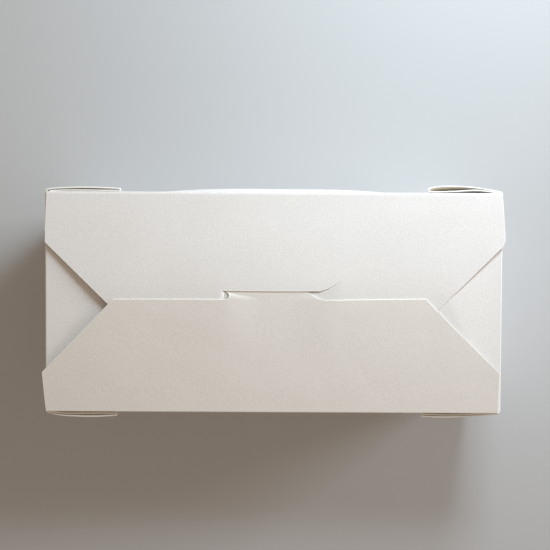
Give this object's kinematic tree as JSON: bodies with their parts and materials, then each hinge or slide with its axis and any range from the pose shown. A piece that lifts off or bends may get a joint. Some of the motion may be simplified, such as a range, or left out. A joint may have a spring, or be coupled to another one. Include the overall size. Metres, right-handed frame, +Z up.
{
  "type": "takeout food box",
  "caption": "Closed takeout food box folded from white paperboard, with doubled corner webs, dust flaps and a front flap that locks by a hooked tab in a slit.",
  "frame": {"origin": "middle of the base's underside, which rests on the floor", "axes": "+Z up through the closure, +X along the long walls, +Y from the tab flap's fold towards the back flap's fold"},
  "size_m": [0.2096, 0.1064, 0.051],
  "materials": {
    "paperboard": "matte uncoated white board"
  },
  "bodies": {
    "carton": {"carton": "paperboard"},
    "tab_flap": {"tab_flap": "paperboard"}
  },
  "joints": [
    {"name": "tab_flap_hinge", "type": "hinge", "parent": "carton", "child": "tab_flap", "pos_m": [0, -0.04952, 0.04827], "axis": [1, 0, 0], "range_deg": [0, 180]}
  ]
}
